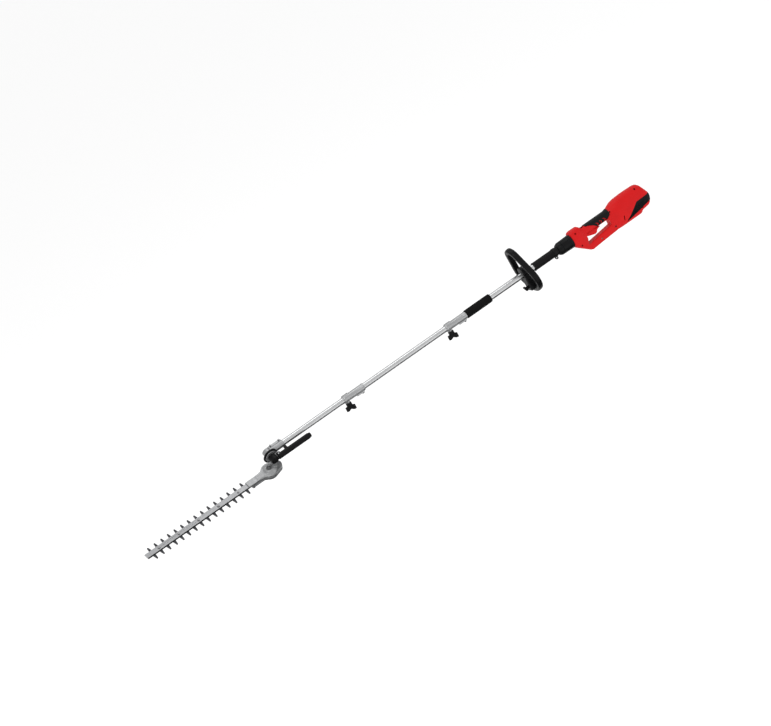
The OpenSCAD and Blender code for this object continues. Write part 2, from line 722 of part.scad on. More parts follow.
module gear_cover() color("gray") at_blade() difference() {
  union() {
    translate([0, 0, case_bottom]) linear_extrude(case_split - case_bottom) teardrop(gearbox_r);
    translate([0, 0, case_bottom]) linear_extrude(5.5) neck(neck_hw + 2, cover_front);
    translate([0, 0, case_bottom]) linear_extrude(case_split - case_bottom) difference() {
      neck(neck_hw, cover_front);
      translate([neck_front, -blade_w / 2 - 0.6]) square([90, blade_w + 1.2]);
    }
  }
  translate([crank_x, 0, 0]) {
    rod_z(case_bottom + 3, case_split + 1, gearbox_r - case_wall);
    rod_z(case_bottom + 1, case_split, 4 + fit);
  }
  box([cover_front - 2, -blade_w / 2 - 0.6, case_bottom + 5.5],
    [crank_x, blade_w / 2 + 0.6, case_split + 1]);
  cover_holes();
}
cover_spots = [
  [cover_front + 8, 13.2], [cover_front + 8, -13.2], [13, 16], [13, -16]
];
module cover_holes() for (p = cover_spots)
  translate([p[0], p[1], 0]) rod_z(case_bottom - 1, case_split + 1, 1.8 + slip);
module cover_screws() color("dimgray") at_blade()
  for (p = cover_spots) translate([p[0], p[1], 0]) {
    rod_z(case_bottom - 2.4, case_bottom, 3.2);
    rod_z(case_bottom - 0.5, case_split, 1.8);
  }

module access_plug() color("dimgray") at_blade() translate([crank_x, 0, 0]) difference() {
  rod_z(plug_z - 4.6, plug_z - 1.4, 9.4);
  translate([0, 0, plug_z]) cylinder(h = 8, r = 4.5, center = true, $fn = 6);
}

module hub_cap() color("black") at_pivot() difference() {
  rod_s(cheek_s + cheek_t + 0.2, cap_s, hub_r + 1.8);
  rod_s(cheek_s, hub_end + 0.1, hub_r + slip);
  rod_s(hub_end, hub_end + 4.4, 8);
  translate([0, -transfer_s, 0]) rod_z(-60, 0, 10.5 + slip);
  box([9, -transfer_s - 6.2, -4.2], [40, 0, 4.2]);
}

module transfer_shaft() color("slategray") at_pivot() translate([0, -transfer_s, 0]) {
  rod_z(gear_z0, -bevel_out + 1, 3.5);
  rotate([180, 0, 0]) bevel(bevel_in, bevel_out, 12);
  spur(pinion_n);
}
module spur(n) difference() {
  rod_z(gear_z0, gear_z1, n * module_mm / 2 - 0.15);
  for (a = [0:360 / n:359]) rotate([0, 0, a]) translate([n * module_mm / 2, 0, 0])
    box([-0.9, -0.4, gear_z0 - 1], [1, 0.4, gear_z1 + 1]);
}
module crank_gear() color("slategray") at_blade() translate([crank_x, 0, 0]) {
  z1 = -blade_drop - blade_gap;
  z2 = z1 - blade_t;
  rod_z(gear_z0, plug_z - 5.2, 5);
  spur(gear_n);
  translate([0, -crank_throw, 0]) rod_z(z2 - 0.1, gear_z0, eccentric_r);
  translate([0, crank_throw, 0]) rod_z(z2 - blade_t - 0.2, z2 - 0.1, eccentric_r);
  rod_z(case_bottom + 1.3, z2 - 0.5, 4);
}

module support_bar() color("silver") at_blade() difference() {
  box([blade_tip, -blade_w / 2, -blade_drop], [crank_x - gearbox_r - 7, blade_w / 2, -blade_drop + bar_t]);
  for (i = [0:bolt_count - 1]) translate([tooth_first - tooth_pitch - i * bolt_pitch, 0, 0])
    rod_z(-blade_drop - 1, -blade_drop + bar_t + 1, blade_bolt_r + slip / 2);
}
module blade_bolts() color("gray") at_blade()
  for (i = [0:bolt_count - 1]) translate([tooth_first - tooth_pitch - i * bolt_pitch, 0, 0]) {
    rod_z(-blade_drop + bar_t, -blade_drop + bar_t + 3.2, 4.6);
    rod_z(-blade_drop - 2 * blade_t - 3 * blade_gap - 2, -blade_drop + bar_t, blade_bolt_r);
    rod_z(-blade_drop - 2 * blade_t - 3 * blade_gap - 2.2, -blade_drop - 2 * blade_t - 3 * blade_gap, 5);
  }

function tooth(i, side) = let (x = tooth_first - i * tooth_pitch, y = side * blade_w / 2) [
  [x + side * tooth_base / 2, y], [x + side * tooth_tip / 2, y + side * tooth_reach],
  [x - side * tooth_tip / 2, y + side * tooth_reach], [x - side * tooth_base / 2, y]
];
blade_tail = crank_x - yoke_r + 6;
blade_edge = concat(
  [[blade_tail, blade_w / 2]],
  [for (i = [0:tooth_count - 1]) each tooth(i, 1)],
  [[blade_tip + 3, blade_w / 2], [blade_tip + 3, -blade_w / 2]],
  [for (i = [tooth_count - 1:-1:0]) each tooth(i, -1)],
  [[blade_tail, -blade_w / 2]]
);
module blade(z) at_blade() translate([0, 0, z - blade_t]) linear_extrude(blade_t) difference() {
  union() {
    polygon(blade_edge);
    translate([crank_x, 0]) circle(yoke_r);
  }
  translate([crank_x, 0]) square([2 * slot_x, 2 * slot_y], center = true);
  for (i = [0:bolt_count - 1]) translate([tooth_first - tooth_pitch - i * bolt_pitch, 0]) {
    square([2 * (crank_throw + gap), 2 * (blade_bolt_r + gap)], center = true);
    for (side = [-1, 1]) translate([side * (crank_throw + gap), 0]) circle(blade_bolt_r + gap);
  }
}
module upper_blade() color("dimgray") blade(-blade_drop - blade_gap);
module lower_blade() color("dimgray") blade(-blade_drop - blade_t - 2 * blade_gap);

module squeeze_lever() color("black") at_pivot() difference() {
  union() {
    translate([0, -lever_s, 0]) rod_x(lever_x, lever_x + lever_len - 8, lever_r);
    translate([0, -lever_s, 0]) rod_x(lever_x + lever_len - 9, lever_x + lever_len, lever_r - 2);
    box([60, -lever_s + 4, -5], [72, -bracket_r - 2.6, 5]);
    box([lever_x, -lever_s, -10], [34, -lever_s + 14, 10]);
  }
  box([lever_x - 1, -lever_s - 1, -4 - gap], [37, -cheek_s, 4 + gap]);
  translate([lever_pin_at[0], -lever_pin_at[1], 0]) rod_z(-20, 20, 2.5 + fit);
}
module lever_pin() color("silver") at_pivot()
  translate([lever_pin_at[0], -lever_pin_at[1], 0]) rod_z(-9, 9, 2.5);
module lock_pin() color("silver") at_pivot() translate([pin_place, 0, 0])
  rod_s(ring_s - 2.2, transfer_s - 3, lock_r);

housing_left();
housing_right();
soft_grip();
vent_panels();
rear_cap();
cable_gland();
housing_screws();
stator();
field_coils();
brush_gear();
motor_bearings();
trigger_switch();
collar();
front_grip();
strap_eye();
rear_tube();
rear_coupler();
foam_grip();
rear_bushes();
trigger();
lock_button();
lock_spring();
armature();
cooling_fan();
rear_shaft();
loop_handle();
loop_cap();
loop_screws();
loop_knob();
rear_knob();
rear_detent();
middle_tube();
front_coupler();
middle_bushes();
middle_shaft();
front_knob();
front_detent();
lower_tube();
pole_bracket();
bracket_screws();
index_ring();
pivot_bolt();
lower_bushes();
lower_shaft();
bevel_pinion();
idler_bevel();
gear_housing();
gear_cover();
cover_screws();
access_plug();
hub_cap();
support_bar();
blade_bolts();
transfer_shaft();
crank_gear();
upper_blade();
lower_blade();
squeeze_lever();
lever_pin();
lock_pin();
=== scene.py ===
"""Looks of the pole hedge trimmer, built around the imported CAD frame.

Shapes are made in millimetres in one of three local frames: POLE (origin on the pole axis
above the strap eye), PIVOT (origin on the tilt axis, rolled with the gear head) and BLADE
(PIVOT moved sideways onto the blade's centre line). Each frame is a matrix to the row frame.
"""

import json
import math

import bmesh
import bpy
from mathutils import Matrix, Vector


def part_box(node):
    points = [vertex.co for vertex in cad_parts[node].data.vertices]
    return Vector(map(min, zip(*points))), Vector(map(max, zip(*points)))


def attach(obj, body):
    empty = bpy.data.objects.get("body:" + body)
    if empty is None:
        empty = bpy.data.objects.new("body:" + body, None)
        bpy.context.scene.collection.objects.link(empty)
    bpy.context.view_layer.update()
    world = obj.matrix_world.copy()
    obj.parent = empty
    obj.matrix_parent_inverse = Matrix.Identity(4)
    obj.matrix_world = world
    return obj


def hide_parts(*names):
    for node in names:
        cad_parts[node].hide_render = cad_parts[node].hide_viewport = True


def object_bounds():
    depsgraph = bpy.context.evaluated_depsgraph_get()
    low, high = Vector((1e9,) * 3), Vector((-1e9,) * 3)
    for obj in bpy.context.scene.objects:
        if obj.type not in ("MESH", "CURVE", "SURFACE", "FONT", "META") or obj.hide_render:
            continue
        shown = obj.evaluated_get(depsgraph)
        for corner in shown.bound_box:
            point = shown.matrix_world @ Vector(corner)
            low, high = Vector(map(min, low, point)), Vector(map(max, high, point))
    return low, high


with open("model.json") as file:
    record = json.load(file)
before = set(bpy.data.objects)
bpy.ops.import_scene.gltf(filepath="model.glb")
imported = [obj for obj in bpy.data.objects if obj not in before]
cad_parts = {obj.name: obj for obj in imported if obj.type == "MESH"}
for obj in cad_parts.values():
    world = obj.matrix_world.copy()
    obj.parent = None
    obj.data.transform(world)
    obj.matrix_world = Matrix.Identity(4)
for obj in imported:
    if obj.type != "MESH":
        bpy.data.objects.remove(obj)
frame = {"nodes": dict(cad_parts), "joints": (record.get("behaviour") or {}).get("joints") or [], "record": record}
cad_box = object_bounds()
NODES = frame["nodes"]
BODY_OF = {n: b for b, names in frame["record"]["behaviour"]["bodies"].items() for n in names}
SLOT_OF = {s["node"]: s["material_slot"] for s in frame["record"]["subparts"]}
MM = 0.001
WELD_DISTANCE = 0.004 * MM


# ---- Places, read from the frame, in millimetres ----

def low(node):
    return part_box(node)[0] / MM


def high(node):
    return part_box(node)[1] / MM


def middle(node):
    return (low(node) + high(node)) / 2


AXIS_Z = middle("rear_tube").z
X_SHELL = low("housing_left").x
X_REAR = high("housing_left").x
X_OPEN = low("trigger").x - 10
X_BODY = high("soft_grip").x - 3
X_PIVOT = middle("index_ring").x
LOOP_X = middle("loop_cap").x
TILT = next(j for j in frame["joints"] if j["name"] == "head_tilt")["axis"]
ROLL = math.atan2(-TILT[2], -TILT[1])
POLE = Matrix.Translation((0, 0, AXIS_Z * MM)) @ Matrix.Scale(MM, 4)
PIVOT = POLE @ Matrix.Translation((X_PIVOT, 0, 0)) @ Matrix.Rotation(ROLL, 4, "X")
HEAD_S = -(PIVOT.inverted() @ (middle("support_bar") * MM)).y
BLADE = PIVOT @ Matrix.Translation((0, -HEAD_S, 0))


# ---- Materials ----

def node_tree(name, slot):
    material = bpy.data.materials.new(name)
    material.use_nodes = True
    material["slot"] = slot
    tree = material.node_tree
    return material, tree, tree.nodes["Principled BSDF"]


def link(tree, a, b):
    tree.links.new(a, b)


def noise(tree, place, scale, detail=4.0, rough=0.55):
    made = tree.nodes.new("ShaderNodeTexNoise")
    made.inputs["Scale"].default_value = scale
    made.inputs["Detail"].default_value = detail
    made.inputs["Roughness"].default_value = rough
    link(tree, place, made.inputs["Vector"])
    return made.outputs["Fac"]


def ranged(tree, value, a, b, lo, hi):
    made = tree.nodes.new("ShaderNodeMapRange")
    made.inputs["From Min"].default_value = a
    made.inputs["From Max"].default_value = b
    made.inputs["To Min"].default_value = lo
    made.inputs["To Max"].default_value = hi
    link(tree, value, made.inputs["Value"])
    return made.outputs["Result"]


def mixed(tree, factor, a, b):
    """Mixes colours a and b, each a colour or a socket."""
    made = tree.nodes.new("ShaderNodeMix")
    made.data_type = "RGBA"
    link(tree, factor, made.inputs["Factor"])
    for value, spot in ((a, 6), (b, 7)):
        if isinstance(value, tuple):
            made.inputs[spot].default_value = (*value, 1)
        else:
            link(tree, value, made.inputs[spot])
    return made.outputs[2]


def tint(colour, share):
    return tuple(min(1.0, c * share) for c in colour)


def bump(tree, height, strength, distance, before=None):
    made = tree.nodes.new("ShaderNodeBump")
    made.inputs["Strength"].default_value = strength
    made.inputs["Distance"].default_value = distance
    link(tree, height, made.inputs["Height"])
    if before is not None:
        link(tree, before, made.inputs["Normal"])
    return made.outputs["Normal"]


def surface(slot, colour, rough, metal=0.0, vary=0.12, grain=1400.0, grain_bump=0.15,
            along=1.0, wear=0.0, worn=None, coat=0.0, ior=1.5, pattern=None):
    """One finish: soft colour and gloss variation, fine grain along X, and worn edges."""
    material, tree, shader = node_tree(slot, slot)
    shader.inputs["Metallic"].default_value = metal
    shader.inputs["Coat Weight"].default_value = coat
    shader.inputs["Coat Roughness"].default_value = 0.12
    shader.inputs["IOR"].default_value = ior
    coords = tree.nodes.new("ShaderNodeTexCoord").outputs["Object"]
    stretch = tree.nodes.new("ShaderNodeMapping")
    stretch.inputs["Scale"].default_value = (along, 1, 1)
    link(tree, coords, stretch.inputs["Vector"])
    place = stretch.outputs["Vector"]
    cloud = noise(tree, coords, 28.0)
    fine = noise(tree, place, grain, 3.0)
    base = mixed(tree, ranged(tree, cloud, 0.3, 0.7, 0, 1), tint(colour, 1 - vary), tint(colour, 1 + vary))
    base = mixed(tree, ranged(tree, fine, 0.35, 0.75, 0, 0.5), base, tint(colour, 1 - 2 * vary))
    gloss = ranged(tree, noise(tree, coords, 65.0), 0.3, 0.7, rough * 0.82, min(1.0, rough * 1.2))
    normal = bump(tree, fine, grain_bump, 0.0002)
    if pattern:
        base, normal = pattern(tree, coords, base, normal)
    if wear:
        edge = tree.nodes.new("ShaderNodeNewGeometry").outputs["Pointiness"]
        scratch = noise(tree, coords, 420.0, 5.0)
        sum_up = tree.nodes.new("ShaderNodeMath")
        sum_up.operation = "MULTIPLY"
        link(tree, ranged(tree, edge, 0.52, 0.6, 0, wear), sum_up.inputs[0])
        link(tree, ranged(tree, scratch, 0.42, 0.62, 0, 1), sum_up.inputs[1])
        base = mixed(tree, sum_up.outputs["Value"], base, worn or tint(colour, 1.8))
    link(tree, base, shader.inputs["Base Color"])
    link(tree, gloss, shader.inputs["Roughness"])
    link(tree, normal, shader.inputs["Normal"])
    return material


def cells(scale, depth, dark):
    """Pores or pebbles: a Voronoi height, with painted shade darkening its hollows."""
    def pattern(tree, coords, base, normal):
        made = tree.nodes.new("ShaderNodeTexVoronoi")
        made.inputs["Scale"].default_value = scale
        link(tree, coords, made.inputs["Vector"])
        height = made.outputs["Distance"]
        # Painted shade: the colour is blended towards dark with the Voronoi distance, as shade in the hollows.
        base = mixed(tree, ranged(tree, height, 0.05, 0.6, 0, 0.8), base, dark)
        return base, bump(tree, height, depth, 0.0006, normal)
    return pattern


def bands(scale, depth, dark, axis="X"):
    """Fine parallel lines across an axis, such as laminations or a winding."""
    def pattern(tree, coords, base, normal):
        made = tree.nodes.new("ShaderNodeTexWave")
        made.bands_direction = axis
        made.inputs["Scale"].default_value = scale
        made.inputs["Distortion"].default_value = 0.4
        made.inputs["Detail"].default_value = 2.0
        link(tree, coords, made.inputs["Vector"])
        height = made.outputs["Fac"]
        base = mixed(tree, ranged(tree, height, 0.0, 0.5, 0.7, 0), base, dark)
        return base, bump(tree, height, depth, 0.0004, normal)
    return pattern


MATERIALS = {
    "red_shell": surface("red_shell", (0.62, 0.009, 0.010), 0.42, vary=0.05, grain=2600, grain_bump=0.04,
                         wear=0.2, worn=(0.75, 0.1, 0.08), ior=1.22),
    "black_plastic": surface("black_plastic", (0.0045, 0.0045, 0.005), 0.36, grain=2600, grain_bump=0.2,
                             wear=0.5, worn=(0.03, 0.03, 0.032), ior=1.22),
    "soft_rubber": surface("soft_rubber", (0.006, 0.0055, 0.006), 0.5, grain=3000, grain_bump=0.3, ior=1.22,
                           pattern=cells(900, 0.12, (0.006, 0.006, 0.006))),
    "foam": surface("foam", (0.008, 0.008, 0.0085), 0.85, grain=1600, grain_bump=0.6, ior=1.2,
                    pattern=cells(620, 0.55, (0.003, 0.003, 0.003))),
    "silver_tube": surface("silver_tube", (0.6, 0.605, 0.61), 0.27, metal=1.0, vary=0.03, grain=3800,
                           grain_bump=0.03, along=0.012),
    "grey_sleeve": surface("grey_sleeve", (0.4, 0.405, 0.41), 0.34, metal=0.7, vary=0.08, grain=2600,
                           grain_bump=0.15, wear=0.5, worn=(0.62, 0.62, 0.62)),
    "cast_alloy": surface("cast_alloy", (0.36, 0.365, 0.37), 0.4, metal=0.85, vary=0.12, grain=1300,
                          grain_bump=0.5, wear=0.5, worn=(0.72, 0.72, 0.72)),
    "cover_alloy": surface("cover_alloy", (0.2, 0.203, 0.21), 0.46, metal=0.75, vary=0.1, grain=1300,
                           grain_bump=0.4, wear=0.6, worn=(0.66, 0.66, 0.66)),
    "bar_steel": surface("bar_steel", (0.3, 0.303, 0.31), 0.32, metal=1.0, vary=0.05, grain=3200,
                         grain_bump=0.05, along=0.02),
    "blade_steel": surface("blade_steel", (0.04, 0.041, 0.045), 0.38, metal=0.85, vary=0.15, grain=2400,
                           grain_bump=0.2, wear=0.7, worn=(0.4, 0.4, 0.41), ior=1.4),
    "screw_steel": surface("screw_steel", (0.24, 0.24, 0.245), 0.34, metal=1.0, vary=0.12, grain=3000,
                           grain_bump=0.15, wear=0.8, worn=(0.7, 0.7, 0.7)),
    "shaft_steel": surface("shaft_steel", (0.5, 0.505, 0.515), 0.25, metal=1.0, vary=0.06, grain=2600,
                           grain_bump=0.15, pattern=bands(900, 0.05, (0.36, 0.36, 0.37))),
    "core_steel": surface("core_steel", (0.3, 0.3, 0.31), 0.45, metal=0.9, vary=0.1,
                          pattern=bands(330, 0.4, (0.1, 0.1, 0.1))),
    "copper": surface("copper", (0.62, 0.25, 0.1), 0.3, metal=0.9, vary=0.1, coat=0.4,
                      pattern=bands(160, 0.6, (0.2, 0.06, 0.02), "DIAGONAL")),
    "bush_plastic": surface("bush_plastic", (0.72, 0.68, 0.58), 0.45, vary=0.05, grain=1800),
}


# ---- Mesh tools ----

def scratch(name, verts, faces):
    """A temporary object in millimetres."""
    mesh = bpy.data.meshes.new(name)
    mesh.from_pydata([tuple(v) for v in verts], [], faces)
    mesh.update()
    obj = bpy.data.objects.new(name, mesh)
    bpy.context.scene.collection.objects.link(obj)
    return obj


def loft(rings, closed=False, name="loft"):
    """Skins rings of equally many points. An open loft gets flat ends."""
    count = len(rings[0])
    verts = [p for ring in rings for p in ring]
    last = len(rings) if closed else len(rings) - 1
    faces = []
    for i in range(last):
        a, b = i * count, (i + 1) % len(rings) * count
        faces += [(a + k, a + (k + 1) % count, b + (k + 1) % count, b + k) for k in range(count)]
    if not closed:
        faces += [tuple(reversed(range(count))), tuple(range(len(verts) - count, len(verts)))]
    made = scratch(name, verts, faces)
    outward(made)
    return made


def outward(obj):
    """Points every closed piece's faces outwards."""
    work = bmesh.new()
    work.from_mesh(obj.data)
    bmesh.ops.recalc_face_normals(work, faces=work.faces)
    work.to_mesh(obj.data)
    work.free()


def power_curve(angle, power):
    c, s = math.cos(angle), math.sin(angle)
    return (math.copysign(abs(c) ** (2 / power), c), math.copysign(abs(s) ** (2 / power), s))


def section(x, bottom, top, half, power=2.6, count=56):
    """A rounded section across X from z bottom to z top."""
    points = [power_curve(2 * math.pi * k / count, power) for k in range(count)]
    return [(x, half * c, (bottom + top) / 2 + (top - bottom) / 2 * s) for c, s in points]


def lathe(profile, count=72, flutes=0, depth=0.0, name="lathe"):
    """Turns a closed profile of (x, r, share of flute depth) or (x, r) about X."""
    rings = []
    for k in range(count):
        a = 2 * math.pi * k / count
        wave = depth * (0.5 + 0.5 * math.cos(flutes * a)) if flutes else 0
        ring = []
        for p in profile:
            r = p[1] - (wave * p[2] if len(p) > 2 else 0)
            ring.append((p[0], r * math.cos(a), r * math.sin(a)))
        rings.append(ring)
    return loft(rings, closed=True, name=name)


def rounded(points, radius, steps=5):
    """An outline with its corners rounded by arcs. A third value is that corner's own radius."""
    out = []
    count = len(points)
    for i, point in enumerate(points):
        here = Vector(point[:2])
        back = Vector(points[i - 1][:2]) - here
        ahead = Vector(points[(i + 1) % count][:2]) - here
        r = point[2] if len(point) > 2 else radius
        half = back.angle(ahead) / 2
        reach = min(r / math.tan(half), 0.45 * back.length, 0.45 * ahead.length) if half > 0.01 else 0
        start, end = here + back.normalized() * reach, here + ahead.normalized() * reach
        for k in range(steps + 1):
            t = k / steps
            out.append(tuple(start * (1 - t) ** 2 + here * 2 * t * (1 - t) + end * t ** 2))
    return out


def prism(outline, y0, y1, name="prism"):
    """A side outline of (x, z) drawn out along Y."""
    return loft([[(x, y, z) for x, z in outline] for y in (y0, y1)], name=name)


def brick(lo, hi):
    return prism([(lo[0], lo[2]), (hi[0], lo[2]), (hi[0], hi[2]), (lo[0], hi[2])], lo[1], hi[1])


def rod(start, end, r0, r1=None, count=48):
    """A round bar between two points, tapered where r1 is given."""
    start, end = Vector(start), Vector(end)
    turn = (end - start).to_track_quat("X", "Z").to_matrix()
    rings = []
    for centre, r in ((start, r0), (end, r0 if r1 is None else r1)):
        angles = [2 * math.pi * k / count for k in range(count)]
        rings.append([centre + turn @ Vector((0, r * math.cos(a), r * math.sin(a))) for a in angles])
    return loft(rings)


def applied(obj, kind, **settings):
    """Adds a modifier and bakes it into the mesh."""
    modifier = obj.modifiers.new(kind, kind)
    for key, value in settings.items():
        setattr(modifier, key, value)
    graph = bpy.context.evaluated_depsgraph_get()
    mesh = bpy.data.meshes.new_from_object(obj.evaluated_get(graph))
    obj.modifiers.clear()
    obj.data = mesh
    return obj


def joined(objects):
    """One scratch object from several, which are used up."""
    work = bmesh.new()
    for obj in objects:
        work.from_mesh(obj.data)
        bpy.data.objects.remove(obj)
    mesh = bpy.data.meshes.new("joined")
    work.to_mesh(mesh)
    work.free()
    made = bpy.data.objects.new("joined", mesh)
    bpy.context.scene.collection.objects.link(made)
    return made


def fused(objects, voxel, smooth):
    """Melts overlapping solids into one moulded skin with soft edges."""
    made = joined(objects)
    applied(made, "REMESH", mode="VOXEL", voxel_size=voxel)
    if smooth:
        applied(made, "SMOOTH", factor=0.5, iterations=smooth)
    return made


def carved(obj, cutter, operation="DIFFERENCE"):
    """Boolean with a scratch cutter, which is used up."""
    applied(obj, "BOOLEAN", operation=operation, solver="EXACT", object=cutter)
    bpy.data.objects.remove(cutter)
    return obj


def bevelled(obj, width, segments=3, angle=30):
    return applied(obj, "BEVEL", width=width, segments=segments, limit_method="ANGLE",
                   angle_limit=math.radians(angle), miter_outer="MITER_ARC")


def cad_copy(node, place):
    """A scratch copy of a CAD node in a local frame."""
    mesh = NODES[node].data.copy()
    mesh.transform(place.inverted())
    made = bpy.data.objects.new("copy", mesh)
    bpy.context.scene.collection.objects.link(made)
    return applied(made, "WELD", merge_threshold=WELD_DISTANCE / MM)


def piece(obj, name, place, body, material, stands_for=(), sharp=35):
    """Names a finished scratch object, moves it to the row frame and hands it to the frame."""
    obj.name = name
    obj.data.name = name
    obj.data.transform(place)
    obj.data.materials.clear()
    obj.data.materials.append(MATERIALS[material])
    obj.data.shade_smooth()
    obj.data.set_sharp_from_angle(angle=math.radians(sharp))
    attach(obj, body)
    if stands_for:
        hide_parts(*stands_for)
    return obj


def cast(node, place, voxel, smooth, extra=(), cuts=()):
    """A CAD node remade as a moulding or casting with soft edges, and with added forms."""
    made = fused([cad_copy(node, place), *extra], voxel, 0)
    for cutter in cuts:
        carved(made, cutter)
    if smooth:
        applied(made, "SMOOTH", factor=0.5, iterations=smooth)
    return piece(made, node + "_skin", place, BODY_OF[node], SLOT_OF[node], [node])


# ---- Motor unit ----

MOTOR_BODY = [
    (0, -66, 22, 19.5, 3.2), (12, -67.5, 25, 24, 3.0), (26, -68.5, 31, 30, 2.8),
    (42, -69, 37.5, 34.5, 2.6), (60, -69, 41, 37.5, 2.5), (96, -69, 42.5, 38, 2.45),
    (126, -69, 42.5, 38, 2.45), (132, -68, 42, 38, 2.45), (141, -60.5, 41.5, 38, 2.45),
    (156, -58.5, 41, 38, 2.45), (167, -57, 38, 37.6, 2.45), (173, -55, 32, 37, 2.5),
    (179, -50, 20, 35, 2.5), (184, -41, 9.5, 32.5, 2.6), (187.5, -31, 1, 29, 2.6),
    (189, -22, -6, 24, 2.6)
]
FRONT_BLOCK = [
    (0, -26, 28.5, 24.5, 3.4), (4, -32, 33.5, 26.5, 3.4), (12, -39, 35.6, 27, 3.4),
    (28, -52, 36, 27, 3.4), (39, -61, 36, 26.5, 3.4), (45, -66, 35.6, 25, 3.4),
    (50, -70, 32, 23, 3.4), (54, -73.5, 23, 21, 3.4), (66, -76.5, 22, 19.5, 3.4)
]
HANDLE = [(x, -11, 21.8, 19, 2.9) for x in (-14, 10, 40, 70, 100, 118, 136)]
GUARD = [(-2, -66, -36, 20, 3.4), (10, -76.5, -42, 19.4, 3.4), (60, -73, -37, 19, 3.2),
         (121, -69.5, -29, 19, 3.2), (136, -68.5, -24, 19.5, 3.2)]
FINGER_OPENING = [(0, -49), (121, -33), (121, -11, 5), (10, -11), (10, -25, 3)]
WEDGE = [(56, -57.5), (124, -8.6), (192, -6.5), (192, -33), (143, -41)]
GRIP = [(22, 30), (134, 30), (132, 6), (118, -4.5), (66, -5.5), (52, 7), (32, 17), (22, 19)]
SIDE_SLIT = [(47.5, -47), (51, -46), (56, -27), (52.5, -27)]


def shifted(rows, x):
    return [(row[0] + x, *row[1:]) for row in rows]


def lofted(rows, x):
    return loft([section(*row) for row in shifted(rows, x)])


def motor_skin():
    """The whole outer skin of the motor unit, before it is split into its mouldings."""
    solids = [lofted(MOTOR_BODY, X_BODY), lofted(FRONT_BLOCK, X_SHELL),
              lofted(HANDLE, X_OPEN), lofted(GUARD, X_OPEN)]
    made = fused(solids, 1.6, 0)
    hole = prism(rounded(shifted(FINGER_OPENING, X_OPEN), 4), -60, 60)
    carved(made, hole)
    applied(made, "REMESH", mode="VOXEL", voxel_size=1.5)
    applied(made, "SMOOTH", factor=0.5, iterations=9)
    return made


def inside(outline, x, z):
    """Whether a point lies inside a side outline."""
    hit = False
    for i, (x1, z1) in enumerate(outline):
        x0, z0 = outline[i - 1]
        if (z0 > z) != (z1 > z) and x < (x1 - x0) * (z - z0) / (z1 - z0) + x0:
            hit = not hit
    return hit


def cut_along(work, outline):
    """Cuts a skin along the planes through an outline's sides, parallel to Y."""
    for i, (x1, z1) in enumerate(outline):
        x0, z0 = outline[i - 1]
        normal = Vector((z1 - z0, 0, x0 - x1))
        if normal.length < 1e-6:
            continue
        bmesh.ops.bisect_plane(work, geom=work.verts[:] + work.edges[:] + work.faces[:],
                               plane_co=(x0, 0, z0), plane_no=normal, dist=1e-4)


def taken(skin, keep, outlines=(), planes=(), wall=2.4, lift=0.0):
    """A wall cut from the skin: the faces whose centre passes keep, thickened inwards."""
    work = bmesh.new()
    work.from_mesh(skin.data)
    for outline in outlines:
        cut_along(work, outline)
    for point, normal in planes:
        bmesh.ops.bisect_plane(work, geom=work.verts[:] + work.edges[:] + work.faces[:],
                               plane_co=point, plane_no=normal, dist=1e-4)
    drop = [f for f in work.faces if not keep(f.calc_center_median(), f.normal)]
    bmesh.ops.delete(work, geom=drop, context="FACES")
    if lift:
        work.normal_update()
        moves = [(v, v.normal.copy()) for v in work.verts]
        for v, normal in moves:
            v.co += normal * lift
    mesh = bpy.data.meshes.new("taken")
    work.to_mesh(mesh)
    work.free()
    made = bpy.data.objects.new("taken", mesh)
    bpy.context.scene.collection.objects.link(made)
    return applied(made, "SOLIDIFY", thickness=wall, offset=-1, use_even_offset=False)


def loose_parts(node):
    """The box of each separate solid in a node, as its lowest and highest corner, in order of place."""
    work = bmesh.new()
    work.from_mesh(NODES[node].data)
    bmesh.ops.remove_doubles(work, verts=work.verts, dist=WELD_DISTANCE)
    left, boxes = set(work.verts), []
    while left:
        group, queue = set(), [left.pop()]
        while queue:
            vert = queue.pop()
            group.add(vert)
            for edge in vert.link_edges:
                other = edge.other_vert(vert)
                if other in left:
                    left.discard(other)
                    queue.append(other)
        corners = [Vector([pick(v.co[i] for v in group) for i in range(3)]) for pick in (min, max)]
        boxes.append((corners[0] / MM, corners[1] / MM))
    work.free()
    return sorted(boxes, key=lambda box: tuple(box[0]))


skin = motor_skin()
WEDGE_AT = [(x + X_BODY, z) for x, z in WEDGE]
GRIP_AT = [(x + X_OPEN, z) for x, z in GRIP]
X_CAP = X_REAR - 16
SEAM = 0.2
SHELL_REACH = 60
TRIGGER_HALF, TRIGGER_SLOT_HALF = 9.5, 9.9
LOCK_HALF, LOCK_SLOT_HALF = 8, 8.4
SCREW_WELL_R = 3.4
trigger_lo, trigger_hi = X_OPEN + 8, X_OPEN + 83
lock_lo, lock_hi = X_OPEN - 5, X_OPEN + 19


def in_slots(c):
    """The windows for the trigger and for the lock-off button."""
    if trigger_lo < c.x < trigger_hi and abs(c.y) < TRIGGER_SLOT_HALF and -27 < c.z < -4:
        return True
    return lock_lo < c.x < lock_hi and abs(c.y) < LOCK_SLOT_HALF and c.z > 15


